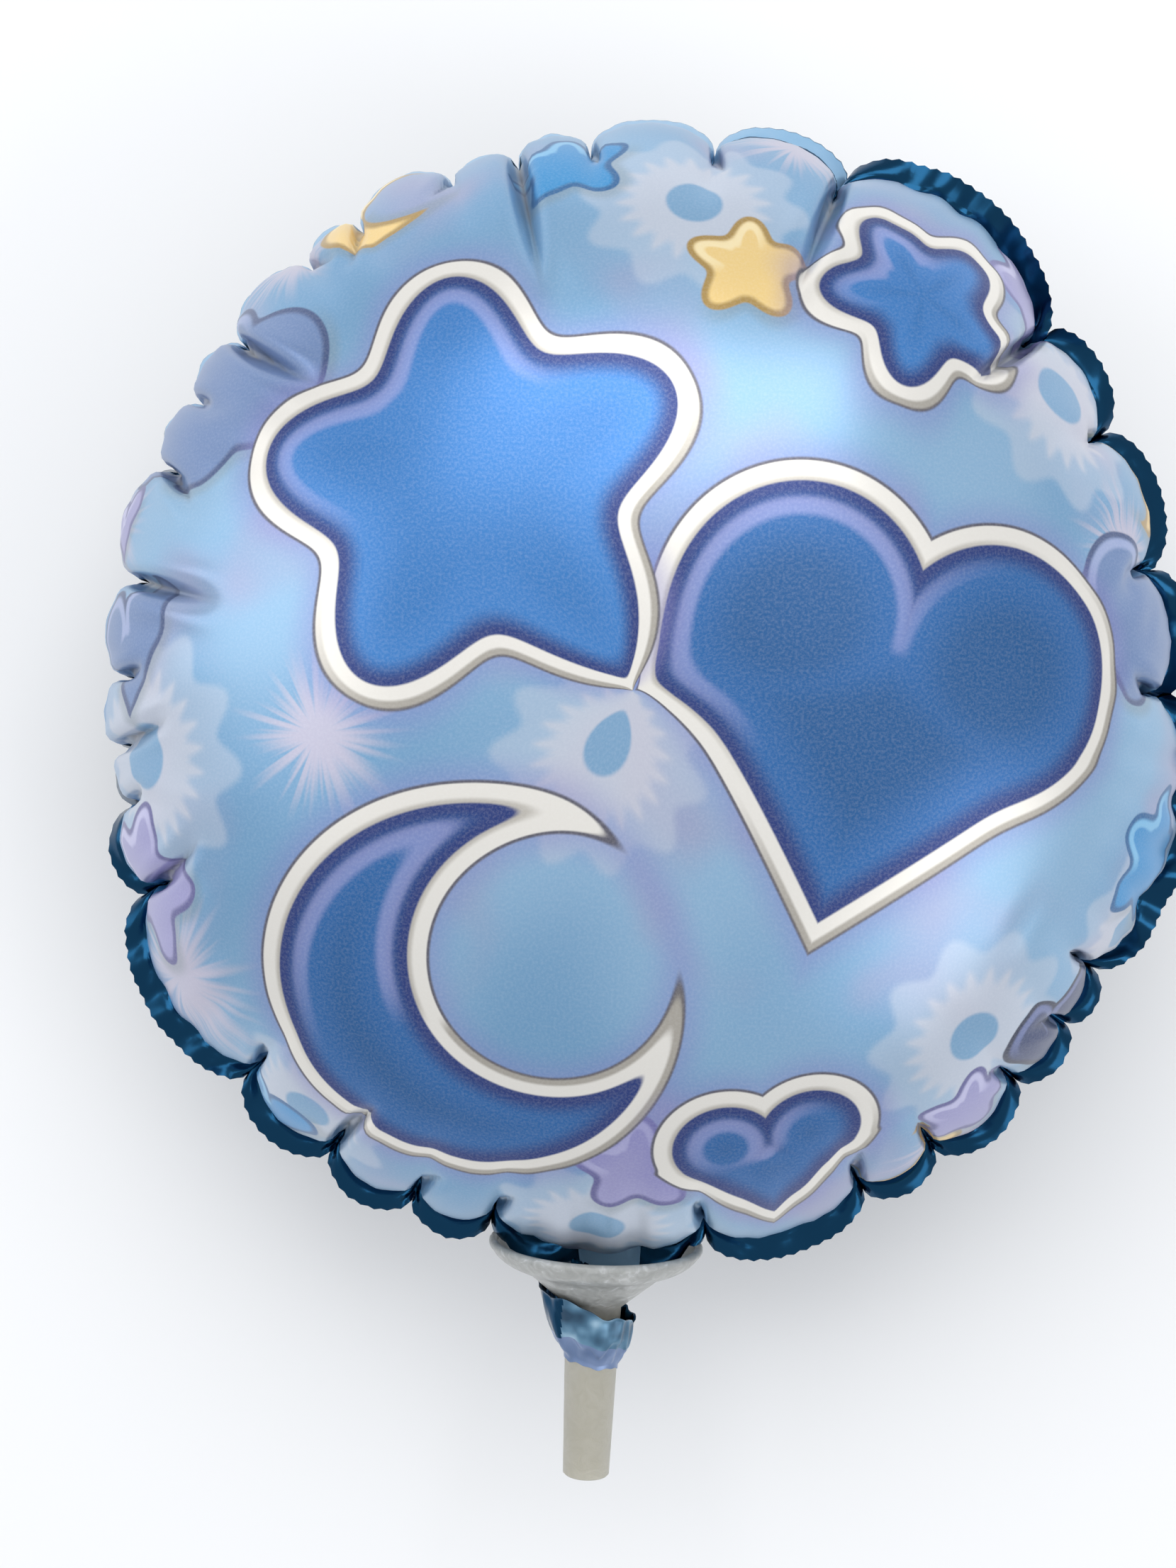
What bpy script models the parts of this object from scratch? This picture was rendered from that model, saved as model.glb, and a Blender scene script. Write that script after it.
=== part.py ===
"""Round foil balloon with a puckered rim, held in a small plastic cup with a hollow stem.

The balloon lies on its back. +Z is its axis, with the printed face up. +Y runs along the cup's stem
to the top of the balloon. The origin is the middle of the small flat spot that it rests on.
Lengths are in metres and angles in degrees.
"""
import math

import bmesh
import bpy
from mathutils import Matrix, Vector

# Balloon: two foil discs sealed at the rim, blown up
SHEET_DIAMETER = 0.229
SEAM_WIDTH = 0.0045
SEAM_REACH = 0.0030
SEAM_THICKNESS = 0.0010
FLAT_SPOT_RADIUS = 0.018

# A disc of radius 1 that is blown up without stretching shrinks to this radius at the rim, and its
# half thickness is this share of the shrunken radius
INFLATED_SHARE = 0.7627
HALF_THICKNESS_SHARE = 0.5991

# Rim: the outline is a little taller than wide, and lobes stand out between the pinches
PINCH_INSET = 0.0019
TALLER = 0.025
LOBE_ROUNDNESS = 0.6
CREASE_FADE = 4
LEAN_HEIGHT = 0.0030

# Each lobe runs from its own angle to the next one's: angle from +X, height in millimetres beyond the
# pinches, and lean, which is 1 where the seam leans to the printed face and -1 where it leans back
LOBES = (
    (2, 1.9, 0.3), (16, 4.0, 0.2), (31, 3.1, 0.5), (44, 6.5, 1.0), (70, 4.1, 0.2), (84, 3.5, -0.5),
    (97, 1.9, 0.0), (105, 1.0, -0.4), (112, 3.3, -0.8), (123, 2.4, 0.2), (130, 2.6, -0.6),
    (141, 1.8, 0.1), (149, 3.0, -0.5), (157, 4.6, 0.5), (170, 2.9, -0.3), (181, 3.2, 0.2),
    (189, 2.5, -0.2), (195, 2.9, 0.3), (205, 5.9, 0.8), (227, 4.2, 0.6), (239, 4.3, 0.9),
    (249, 3.5, 0.6), (297, 2.3, 0.5), (306, 3.4, 0.8), (317, 2.9, 0.5), (325, 2.6, 0.6),
    (332, 5.7, 1.0),
)
# The lobe that goes down into the cup, and the one beside it, start where the cup's lip is
LOBE_IN_CUP = (2.7, 0.0)
LOBE_BESIDE_CUP = (3.9, 0.7)

# Cup: a bell that the balloon sits in, on a tapered tube
CUP_X = -0.0020
RIM_TO_CUP = 0.0008
CUP_RADIUS = 0.0165
CUP_WALL = 0.0009
LIP_RADIUS = 0.0007
SHOULDER_RADIUS = 0.0114
SHOULDER_DEPTH = 0.0045
SHOULDER_INSET = 0.0006
SHOULDER_RISE = 0.0013
CONE_SLOPE = 1.19
FLOOR_ABOVE_STEM = 0.0015
FLOOR_THICKNESS = 0.0022
STEM_TOP_RADIUS = 0.00445
STEM_END_RADIUS = 0.0037
STEM_END_ROUNDING = 0.0002
STEM_BORE_RADIUS = 0.0031
CUP_LENGTH = 0.0375

# Slot in the back of the bell, and the balloon's filling tail that goes out through it
SLOT_ANGLE = 22.0
SLOT_BELOW_SHOULDER = 0.0005
SLOT_LENGTH = 0.0070
SLOT_CLEARANCE = 0.0009
TAIL_WIDTH = 0.0076
TAIL_END_WIDTH = 0.0050
TAIL_THICKNESS = 0.0012
TAIL_STANDOFF = 0.0046
TAIL_START_HEIGHT = 0.0100

# The tail wound round the top of the stem, with slanting ends
WRAP_CLEARANCE = 0.0005
WRAP_TOP_SLANT = 0.00205
WRAP_LENGTH = 0.0088
WRAP_END_SLANT = 0.0007
WRAP_TOP_THICKNESS = 0.0010
WRAP_END_THICKNESS = 0.0005

# Fineness of the facets
FRONT_RINGS = 9
LOBE_STEP = 2.9
LOBE_STEPS_AT_LEAST = 4
PROFILE_STEPS = 200
CUP_SEGMENTS = 40
SHOULDER_STEPS = 4
LIP_STEPS = 6
WRAP_SEGMENTS = 32
WRAP_STEPS = 5

WELD_RADIUS = (SHEET_DIAMETER / 2 - SEAM_WIDTH) * INFLATED_SHARE
BOTTOM_RADIUS = (WELD_RADIUS - PINCH_INSET) * (1 + TALLER) + SEAM_REACH
STEM_TOP_DEPTH = SHOULDER_DEPTH + (SHOULDER_RADIUS - STEM_TOP_RADIUS) / CONE_SLOPE
FLOOR_DEPTH = STEM_TOP_DEPTH - FLOOR_ABOVE_STEM
SLOT_DEPTH = SHOULDER_DEPTH + SLOT_BELOW_SHOULDER


def clear_scene():
    """Take away whatever the file holds at the start."""
    for obj in list(bpy.data.objects):
        bpy.data.objects.remove(obj, do_unlink=True)


def new_collection(name):
    """A collection in the scene."""
    collection = bpy.data.collections.new(name)
    bpy.context.scene.collection.children.link(collection)
    return collection


def new_material(name, colour, roughness, metallic):
    """A plain Principled material."""
    material = bpy.data.materials.new(name)
    material.use_nodes = True
    shader = material.node_tree.nodes["Principled BSDF"]
    shader.inputs["Base Color"].default_value = (*colour, 1.0)
    shader.inputs["Roughness"].default_value = roughness
    shader.inputs["Metallic"].default_value = metallic
    return material


def new_object(name, bm, collection):
    """Make an object of a bmesh, with its faces pointing out."""
    bmesh.ops.recalc_face_normals(bm, faces=bm.faces)
    mesh = bpy.data.meshes.new(name)
    bm.to_mesh(mesh)
    bm.free()
    obj = bpy.data.objects.new(name, mesh)
    collection.objects.link(obj)
    return obj


def as_tool(obj):
    """Mark an object as a cutter or a joined part, which isn't a piece of its own."""
    obj.hide_render = True
    obj.display_type = "WIRE"
    return obj


def add_boolean(obj, tool, operation):
    """Cut or join an object with another one."""
    modifier = obj.modifiers.new(tool.name, "BOOLEAN")
    modifier.operation = operation
    modifier.object = tool


def shade_smooth(obj, sharp_angle):
    """Shade round surfaces smooth and keep edges over the angle sharp."""
    obj.data.shade_smooth()
    obj.data.set_sharp_from_angle(angle=math.radians(sharp_angle))


def loft(rings, closed):
    """Skin rings of equal point counts. A closed loft joins the last ring to the first, and an open
    one is capped at both ends."""
    bm = bmesh.new()
    rows = [[bm.verts.new(point) for point in ring] for ring in rings]
    pairs = list(zip(rows, rows[1:]))
    if closed:
        pairs.append((rows[-1], rows[0]))
    for low, high in pairs:
        for i in range(len(low)):
            j = (i + 1) % len(low)
            bm.faces.new((low[i], low[j], high[j], high[i]))
    if not closed:
        for row in (rows[0], rows[-1]):
            bm.faces.new(row)
    return bm


def smooth_step(share):
    """Ease from 0 to 1."""
    share = min(max(share, 0.0), 1.0)
    return share * share * (3 - 2 * share)


def drop_share(slope):
    """How far the blown-up profile has dropped from the pole where its normal leans by the slope, in
    radians, as a share of the rim radius."""
    step = slope / PROFILE_STEPS
    return sum(math.sqrt(math.sin((k + 0.5) * step)) * step / 2 for k in range(PROFILE_STEPS))


def flat_spot_slope():
    """The slope of the profile's normal at the edge of the flat spot."""
    return math.asin((FLAT_SPOT_RADIUS / WELD_RADIUS) ** 2)


def rim_height():
    """The height of the seam's plane above the surface that the balloon lies on."""
    return (HALF_THICKNESS_SHARE - drop_share(flat_spot_slope())) * WELD_RADIUS


def cup_lip_angle(side):
    """The angle round the balloon, in degrees, where its rim meets the cup's lip on the side -1 (left)
    or +1 (right)."""
    return 270 + math.degrees(math.asin((CUP_X + side * CUP_RADIUS) / BOTTOM_RADIUS))


def all_lobes():
    """Every lobe in order, with the two that start at the cup's lip."""
    at_cup = [(cup_lip_angle(-1), *LOBE_IN_CUP), (cup_lip_angle(1), *LOBE_BESIDE_CUP)]
    return sorted(list(LOBES) + at_cup)


def lobe_samples():
    """Each angle round the rim, in radians, with the lobe's height and lean there in metres."""
    samples = []
    lobes = all_lobes()
    for index, (start, height, lean) in enumerate(lobes):
        end = lobes[(index + 1) % len(lobes)][0]
        width = (end - start) % 360
        steps = max(LOBE_STEPS_AT_LEAST, round(width / LOBE_STEP))
        for k in range(steps):
            bulge = math.sin(math.pi * k / steps) ** LOBE_ROUNDNESS
            angle = math.radians(start + width * k / steps)
            samples.append((angle, height / 1000 * bulge, lean * LEAN_HEIGHT * bulge))
    return samples


def balloon_ring(samples, slope, side, seam_out=0.0):
    """The points round the balloon where the profile's normal leans by the slope, in radians, on the
    side +1 (printed) or -1 (back). The lobes fade out towards the pole."""
    height = max(HALF_THICKNESS_SHARE - drop_share(slope), 0.0) * WELD_RADIUS
    fade = math.sin(slope) ** CREASE_FADE
    points = []
    for angle, lobe, lean in samples:
        taller = 1 - TALLER * math.cos(2 * angle)
        radius = (WELD_RADIUS - PINCH_INSET * fade) * taller * math.sqrt(math.sin(slope))
        radius += lobe * fade * math.sin(slope) + seam_out
        rise = height + lobe * fade * math.cos(slope)
        z = rim_height() + side * max(rise, SEAM_THICKNESS / 2) + lean * fade
        z = max(z, 0.0)
        points.append((radius * math.cos(angle), radius * math.sin(angle), z))
    return points


def make_balloon_body(collection):
    """The blown-up body with its pinched rim and the sealed border outside the weld line."""
    samples = lobe_samples()
    slopes = [math.pi / 2 * k / FRONT_RINGS for k in range(1, FRONT_RINGS)]
    rim = math.pi / 2
    rings = [balloon_ring(samples, flat_spot_slope(), 1)]
    rings += [balloon_ring(samples, slope, 1) for slope in slopes]
    rings += [balloon_ring(samples, rim, 1), balloon_ring(samples, rim, 1, SEAM_REACH)]
    rings += [balloon_ring(samples, rim, -1, SEAM_REACH), balloon_ring(samples, rim, -1)]
    rings += [balloon_ring(samples, slope, -1) for slope in reversed(slopes)]
    rings += [balloon_ring(samples, flat_spot_slope(), -1)]
    return new_object("foil_balloon", loft(rings, closed=False), collection)


def cup_matrix(turn=0.0):
    """Cup space: its Z runs down the stem from the middle of the cup's mouth, X to the balloon's right
    and Y up to the printed side. The turn about Z is in degrees."""
    right = Vector((1, 0, 0))
    up = Vector((0, 0, 1))
    down_stem = Vector((0, -1, 0))
    matrix = Matrix((right, up, down_stem)).transposed().to_4x4()
    matrix.translation = Vector((CUP_X, -BOTTOM_RADIUS - RIM_TO_CUP, rim_height()))
    return matrix @ Matrix.Rotation(math.radians(turn), 4, "Z")


def cup_outer_radius(depth):
    """The outer radius of the cone or the stem at a depth below the cup's mouth."""
    if depth < STEM_TOP_DEPTH:
        return SHOULDER_RADIUS - CONE_SLOPE * (depth - SHOULDER_DEPTH)
    share = (depth - STEM_TOP_DEPTH) / (CUP_LENGTH - STEM_TOP_DEPTH)
    return STEM_TOP_RADIUS + (STEM_END_RADIUS - STEM_TOP_RADIUS) * share


def bell_curve():
    """The bell's outer profile from the stem to the lip, as (radius, depth) vectors."""
    points = [Vector((STEM_TOP_RADIUS, STEM_TOP_DEPTH))]
    start = Vector((SHOULDER_RADIUS, SHOULDER_DEPTH))
    middle = Vector((CUP_RADIUS - SHOULDER_INSET, SHOULDER_DEPTH - SHOULDER_RISE))
    end = Vector((CUP_RADIUS, LIP_RADIUS))
    for k in range(SHOULDER_STEPS + 1):
        share = k / SHOULDER_STEPS
        points.append(start.lerp(middle, share).lerp(middle.lerp(end, share), share))
    return points


def inner_bell_curve(outer):
    """The bell's inner profile: the outer one, moved in by the wall and ended at the floor."""
    points = []
    for k, point in enumerate(outer):
        along = outer[min(k + 1, len(outer) - 1)] - outer[max(k - 1, 0)]
        inward = Vector((along.y, -along.x)).normalized()
        points.append(point + inward * CUP_WALL)
    first, second = points[0], points[1]
    share = (FLOOR_DEPTH - first.y) / (second.y - first.y)
    points[0] = first.lerp(second, share)
    return points


def lip_curve(outer_end, inner_end):
    """The rolled lip, from the outer wall over to the inner one."""
    centre = (outer_end + inner_end) / 2
    points = []
    for k in range(LIP_STEPS + 1):
        angle = math.radians(40 - 260 * k / LIP_STEPS)
        points.append(centre + LIP_RADIUS * Vector((math.cos(angle), math.sin(angle))))
    return points


def make_cup(collection, cutters):
    """The cup, turned about its own Z, with the slot cut through the back of the bell."""
    outer = bell_curve()
    inner = inner_bell_curve(outer)
    bore_top = FLOOR_DEPTH + FLOOR_THICKNESS
    profile = [
        Vector((0, bore_top)),
        Vector((STEM_BORE_RADIUS, bore_top)),
        Vector((STEM_BORE_RADIUS, CUP_LENGTH)),
        Vector((STEM_END_RADIUS - STEM_END_ROUNDING, CUP_LENGTH)),
        Vector((STEM_END_RADIUS, CUP_LENGTH - STEM_END_ROUNDING)),
    ]
    profile += outer[:-1] + lip_curve(outer[-1], inner[-1]) + inner[:-1][::-1]
    profile.append(Vector((0, FLOOR_DEPTH)))

    bm = bmesh.new()
    verts = [bm.verts.new((radius, 0, depth)) for radius, depth in profile]
    for first, second in zip(verts, verts[1:]):
        bm.edges.new((first, second))
    mesh = bpy.data.meshes.new("cup")
    bm.to_mesh(mesh)
    bm.free()
    cup = bpy.data.objects.new("cup", mesh)
    collection.objects.link(cup)
    cup.matrix_world = cup_matrix()
    screw = cup.modifiers.new("turn", "SCREW")
    screw.steps = CUP_SEGMENTS
    screw.render_steps = CUP_SEGMENTS
    screw.use_merge_vertices = True
    screw.merge_threshold = 0.00001
    add_boolean(cup, make_slot_cutter(cutters), "DIFFERENCE")
    return cup


def make_slot_cutter(cutters):
    """The box that cuts the slot."""
    slot = bmesh.new()
    bmesh.ops.create_cube(slot, size=1.0)
    size = (TAIL_WIDTH + 2 * SLOT_CLEARANCE, SLOT_LENGTH, TAIL_THICKNESS + 2 * SLOT_CLEARANCE)
    bmesh.ops.scale(slot, verts=slot.verts, vec=size)
    bmesh.ops.translate(slot, verts=slot.verts, vec=(0, -SHOULDER_RADIUS, SLOT_DEPTH))
    cutter = as_tool(new_object("slot_cutter", slot, cutters))
    cutter.matrix_world = cup_matrix(-SLOT_ANGLE)
    return cutter


def tail_stations():
    """The tail's route out of the cup: distance from the cup's axis, depth, and width."""
    stations = [
        (0.0, -TAIL_START_HEIGHT, TAIL_WIDTH),
        (TAIL_THICKNESS, 0.0, TAIL_WIDTH),
        (SHOULDER_RADIUS * 0.4, SLOT_DEPTH - TAIL_THICKNESS, TAIL_WIDTH),
        (SHOULDER_RADIUS * 0.8, SLOT_DEPTH - TAIL_THICKNESS / 3, TAIL_WIDTH),
    ]
    standoffs = (
        (SLOT_DEPTH + 0.0005, 1.0, TAIL_WIDTH),
        (SLOT_DEPTH + 0.0022, 1.0, TAIL_WIDTH),
        (STEM_TOP_DEPTH - 0.0012, 1.0, TAIL_WIDTH),
        (STEM_TOP_DEPTH + 0.0016, 0.65, TAIL_END_WIDTH),
        (STEM_TOP_DEPTH + 0.0036, 0.3, TAIL_END_WIDTH),
    )
    for depth, share, width in standoffs:
        out = cup_outer_radius(depth) + TAIL_STANDOFF * share
        stations.append((min(out, SHOULDER_RADIUS + TAIL_THICKNESS), depth, width))
    return stations


def make_tail(cutters):
    """The flat filling tail: down through the cup, out of the slot and down to the stem."""
    stations = tail_stations()
    rings = []
    for k, (out, depth, width) in enumerate(stations):
        before = Vector(stations[max(k - 1, 0)][:2])
        after = Vector(stations[min(k + 1, len(stations) - 1)][:2])
        along = (after - before).normalized()
        across = Vector((along.y, -along.x)) * TAIL_THICKNESS / 2
        ring = []
        for side_sign, thick_sign in ((-1, -1), (1, -1), (1, 1), (-1, 1)):
            place = Vector((out, depth)) + across * thick_sign
            ring.append((side_sign * width / 2, -place.x, place.y))
        rings.append(ring)
    tail = as_tool(new_object("filling_tail", loft(rings, closed=False), cutters))
    tail.matrix_world = cup_matrix(-SLOT_ANGLE)
    return tail


def wrap_section(angle):
    """The wrap's section at an angle round the stem: (radius, depth) down its hole and back up its
    outside."""
    top = STEM_TOP_DEPTH + WRAP_TOP_SLANT * math.cos(angle)
    end = STEM_TOP_DEPTH + WRAP_LENGTH + WRAP_END_SLANT * math.cos(angle)
    highest = STEM_TOP_DEPTH - WRAP_TOP_SLANT
    top_radius = cup_outer_radius(highest) + WRAP_CLEARANCE + WRAP_TOP_THICKNESS
    end_radius = cup_outer_radius(end) + WRAP_CLEARANCE + WRAP_END_THICKNESS
    inner, outer = [], []
    for step in range(WRAP_STEPS + 1):
        depth = top + (end - top) * step / WRAP_STEPS
        taper = smooth_step((depth - highest) / (end - highest))
        inner.append((cup_outer_radius(depth) + WRAP_CLEARANCE, depth))
        outer.append((top_radius + (end_radius - top_radius) * taper, depth))
    return inner + outer[::-1]


def make_wrap(cutters):
    """The crumpled band of tail round the top of the stem."""
    rings = []
    for k in range(WRAP_SEGMENTS):
        angle = 2 * math.pi * k / WRAP_SEGMENTS
        section = wrap_section(angle)
        rings.append([(r * math.cos(angle), r * math.sin(angle), depth) for r, depth in section])
    wrap = as_tool(new_object("stem_wrap", loft(rings, closed=True), cutters))
    wrap.matrix_world = cup_matrix()
    return wrap


def main():
    """Build the balloon and its cup."""
    clear_scene()
    collection = new_collection("balloon_on_cup")
    cutters = new_collection("cutters")

    balloon = make_balloon_body(collection)
    add_boolean(balloon, make_tail(cutters), "UNION")
    add_boolean(balloon, make_wrap(cutters), "UNION")
    balloon.data.materials.append(new_material("blue_foil", (0.10, 0.36, 0.60), 0.25, 0.9))
    shade_smooth(balloon, 40)

    cup = make_cup(collection, cutters)
    cup.data.materials.append(new_material("frosted_plastic", (0.72, 0.71, 0.66), 0.45, 0.0))


main()
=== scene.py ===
"""The looks of the round foil balloon on its cup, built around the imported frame.

The foil is two flat discs, sealed at the rim and blown up by a relaxation of their own: film that
doesn't stretch, pushed out by air. That is what makes the pinches, creases and ruffles of the rim.
"""
import math

import bpy
import numpy as np
from mathutils import Matrix, Vector


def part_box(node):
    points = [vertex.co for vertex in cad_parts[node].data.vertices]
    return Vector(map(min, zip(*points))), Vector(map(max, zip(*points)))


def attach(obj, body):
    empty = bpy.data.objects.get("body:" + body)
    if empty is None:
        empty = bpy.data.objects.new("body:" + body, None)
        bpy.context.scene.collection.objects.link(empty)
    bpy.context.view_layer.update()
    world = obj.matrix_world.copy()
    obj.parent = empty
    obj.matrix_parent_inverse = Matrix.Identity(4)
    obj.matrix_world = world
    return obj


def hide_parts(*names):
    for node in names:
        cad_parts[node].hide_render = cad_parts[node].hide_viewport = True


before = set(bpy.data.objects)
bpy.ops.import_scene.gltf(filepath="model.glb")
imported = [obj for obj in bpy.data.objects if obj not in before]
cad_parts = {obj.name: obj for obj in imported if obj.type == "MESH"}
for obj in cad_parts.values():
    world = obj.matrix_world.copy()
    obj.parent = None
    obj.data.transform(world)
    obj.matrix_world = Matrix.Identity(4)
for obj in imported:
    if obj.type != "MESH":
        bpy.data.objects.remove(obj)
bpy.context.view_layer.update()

CUP_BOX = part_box("cup")

# Places taken from the frame, in metres
CUP_X = (CUP_BOX[0][0] + CUP_BOX[1][0]) / 2
RIM_Z = (CUP_BOX[0][2] + CUP_BOX[1][2]) / 2
CUP_MOUTH_Y = CUP_BOX[1][1]
CUP_LENGTH = CUP_BOX[1][1] - CUP_BOX[0][1]
CUP_RADIUS = (CUP_BOX[1][0] - CUP_BOX[0][0]) / 2

# Film
SHEET_RADIUS = 0.1145
SEAM_WIDTH = 0.0045
WELD_FLAT = SHEET_RADIUS - SEAM_WIDTH
INFLATED_SHARE = 0.7627
WELD_RADIUS = WELD_FLAT * INFLATED_SHARE
FILM_GAP = 0.00006
PRINT_SPAN = 0.24

# Rim, as in the solid: start angle and height of each lobe. Then how far its weld lies towards the
# printed side and how far the crease at its start runs in, in millimetres, and how far its seam turns
# to the printed side, in degrees.
LOBES = (
    (2, 1.9, 1, 10, 20), (16, 4.0, -2, 5, -20), (31, 3.1, -1, 4, -10), (44, 6.5, 3, 18, 35),
    (70, 4.1, 0, 23, -40), (84, 3.5, 0, 6, -62), (97, 1.9, 0, 5, -65), (105, 1.0, 0, 25, -65),
    (112, 3.3, 1, 5, -65), (123, 2.4, 1, 9, -65), (130, 2.6, 0, 6, -62), (141, 1.8, -1, 20, -62),
    (149, 3.0, -3, 6, -65), (157, 4.6, -4, 12, -75), (170, 2.9, -4, 22, -75),
    (181, 3.2, -4, 9, -75), (189, 2.5, -3, 14, -60), (195, 2.9, -1, 7, -20), (205, 5.9, 2, 16, 0),
    (227, 4.2, 3, 7, 0), (239, 4.3, 3, 12, 0), (249, 3.5, 2, 6, 0), (258, 2.7, 2, 6, 0),
    (280, 3.9, 2, 6, 0), (297, 2.3, 3, 8, 0), (306, 3.4, 3, 6, 0), (317, 2.9, 3, 6, 0),
    (325, 2.6, 3, 6, 0), (332, 5.7, 2, 7, 10),
)
ARCH_SHARE = 0.75
DEEPEST_FOLD = 0.0034
FOLD_GAP = 0.00035
RUFFLE_LENGTH = 0.0075
PINCH_INSET = 0.0004
CREASE_RUNOUT = 0.004
CREASE_DEPTH = 0.0026
CREASE_HALF_WIDTH = 0.00085
FOLD_HALF_WIDTH = 0.0005
TOOTH = 0.00035
PINCH_SHIFT = 0.85
TALLER = 0.025

# Grid of the film: points round, rings from the pole to the weld, rings of the seam
ROUND = 360
RINGS = 34
SEAM_RINGS = 3
POLE_RADIUS = 0.004
POLE_STEP = 6.0
RIM_STEP = 1.8

# Cup, as in the solid. Its space has Z running down the stem from the mouth.
CUP_WALL = 0.0009
LIP_RADIUS = 0.0007
SHOULDER_RADIUS = 0.0114
SHOULDER_DEPTH = 0.0045
CONE_SLOPE = 1.19
STEM_TOP_RADIUS = 0.00445
STEM_TOP_DEPTH = SHOULDER_DEPTH + (SHOULDER_RADIUS - STEM_TOP_RADIUS) / CONE_SLOPE
STEM_END_RADIUS = 0.0037
STEM_END_BEVEL = 0.0003
STEM_BORE_RADIUS = 0.0031
FLOOR_DEPTH = STEM_TOP_DEPTH - 0.0015
FLOOR_THICKNESS = 0.0022
AXIS_RADIUS = 0.00001
CUP_SIDES = 96
SLOT_ANGLE = 22
SLOT_SIZE = (0.0094, 0.0070, 0.0030)
SLOT_DEPTH = 0.0050

# Wrap round the stem: places down it at its left and right, its top radius, and its folds
WRAP_SIDES = 160
WRAP_ROWS = 48
WRAP_TOP = (0.0070, 0.0122)
WRAP_END = (0.0186, 0.0200)
WRAP_TOP_RADIUS = (0.0086, 0.0063)
WRAP_END_RADIUS = 0.0043
WRAP_FOLDS = 60
WRAP_FOLD_HEIGHT = 0.00034
WRAP_LAYER_DEPTH = 0.0160
WRAP_LAYER_STEP = 0.00035
WRAP_FILM = 0.0003
WRAP_CLEARANCE = 0.00015

# Tail strip: how far it lies from the cup's axis, depth, width and thickness at each station
TAIL_WIDTH = 0.0076
TAIL_STATIONS = (
    (-0.0010, 0.0010, 0.0085, 0.0022), (0.0004, 0.0038, 0.0080, 0.0024),
    (0.0026, 0.0046, TAIL_WIDTH, 0.0014), (0.0060, 0.0048, TAIL_WIDTH, 0.0008),
    (0.0098, 0.0049, TAIL_WIDTH, 0.0006), (0.0118, 0.0053, TAIL_WIDTH, 0.0006),
    (0.0122, 0.0064, TAIL_WIDTH, 0.0007), (0.0112, 0.0084, TAIL_WIDTH, 0.0010),
    (0.0088, 0.0105, 0.0070, 0.0012), (0.0070, 0.0125, 0.0060, 0.0010),
    (0.0060, 0.0145, 0.0050, 0.0008),
)
TAIL_ROWS = 70
TAIL_SIDES = 56

# Colours of the frosted bell, the stem and the wrap's two layers, by position in their noise
FROST_COLOURS = ((0.3, "BFC0BC"), (0.5, "CFD0CC"), (0.62, "DCDDDA"), (0.7, "F4F5F4"))
STEM_COLOURS = ((0.3, "D6D2C2"), (0.7, "DEDACC"))
STEM_COLOUR_BLEND = 0.002
# The wrap's colours run from dark to light: painted shade and painted highlights on its crumpled facets.
UPPER_COLOURS = ((0.3, "2C4A62"), (0.45, "4A718C"), (0.55, "6A92AD"), (0.7, "A6C6DA"))
LOWER_COLOURS = ((0.3, "5E7398"), (0.5, "7085AA"), (0.7, "8598BC"))

# Camera: the picture is this many pixels wide, and its middle lies this far off the balloon's axis
PICTURE_WIDTH = 1659
METRES_PER_PIXEL = 0.000112
CAMERA_HEIGHT = 0.361
CAMERA_ROLL = 2.5
PICTURE_OFFSET = (-63.5, -131)

# Lights: place, size and power
FLOOR_SIZE = 6
FLOOR_Z = -0.0005
WORLD_STRENGTH = 0.66
LIGHTS_AIM = (0, 0, 0.05)
LIGHTS = {
    "top_softbox": ((0.0, 0.62, 1.0), (1.1, 0.7), 7),
    "left_softbox": ((-1.1, 0.2, 0.6), (0.5, 1.3), 3.4),
    "right_softbox": ((1.0, -0.6, 0.9), (0.8, 0.8), 4.2),
}

# Print, on the flat sheet in millimetres from its middle
BACK_COLOUR = (0.010, 0.056, 0.120)
SLATE = ("6D86B0", "43557E", "A9B4D8")
LILAC = ("9A98C4", "5F5E92", "C9C8E6")
NAVY = ("33416A", "1D2745", "7A86B4")
TURQUOISE = ("2C8CC6", "1B5F93", "8CC6E6")
CREAM = ("EBCB86", "A88A4E", "F8E9BE")
BOLD = (
    ("moon", (-22, -45), 28, 28), ("heart", (35, 0), 62, -14), ("star", (-24, 28), 26, 100),
    ("star", (40, 60), 13, 40), ("heart", (24, -70), 27, 12),
)
ROSETTES = (
    ((-78, -14), 20, 12, 0), ((66, 50), 18, 10, 20), ((-2, -88), 16, 10, 10), ((88, -36), 15, 9, 0),
    ((6, 74), 16, 10, 30), ((-4, -10), 15, 11, 15), ((-50, -70), 14, 9, 0), ((54, -50), 16, 10, 5),
)
BURSTS = (
    ((-64, 74), 14), ((78, 26), 12), ((-72, -50), 17), ((60, -78), 14), ((24, 96), 13), ((-94, 26), 12),
    ((-44, -8), 12),
)
MOTIFS = (
    ("cloud", (-72, 46), 31, 0, SLATE), ("moon", (-46, 80), 12, 20, CREAM),
    ("cloud", (80, 14), 24, 0, SLATE), ("star", (14, 62), 8, 15, CREAM),
    ("star", (66, 72), 10, 40, LILAC), ("star", (-80, -36), 12, 10, LILAC),
    ("heart", (-84, 4), 24, 15, SLATE), ("heart", (74, -54), 22, 20, NAVY),
    ("heart", (-60, -76), 17, -20, TURQUOISE), ("moon", (52, -80), 11, 160, CREAM),
    ("star", (88, -24), 10, 0, TURQUOISE), ("star", (58, -66), 8, 30, LILAC),
    ("star", (-14, 84), 9, 30, TURQUOISE), ("heart", (-92, 26), 13, 12, LILAC),
    ("star", (4, -72), 9, 20, LILAC), ("moon", (88, 42), 10, 200, CREAM),
)

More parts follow.
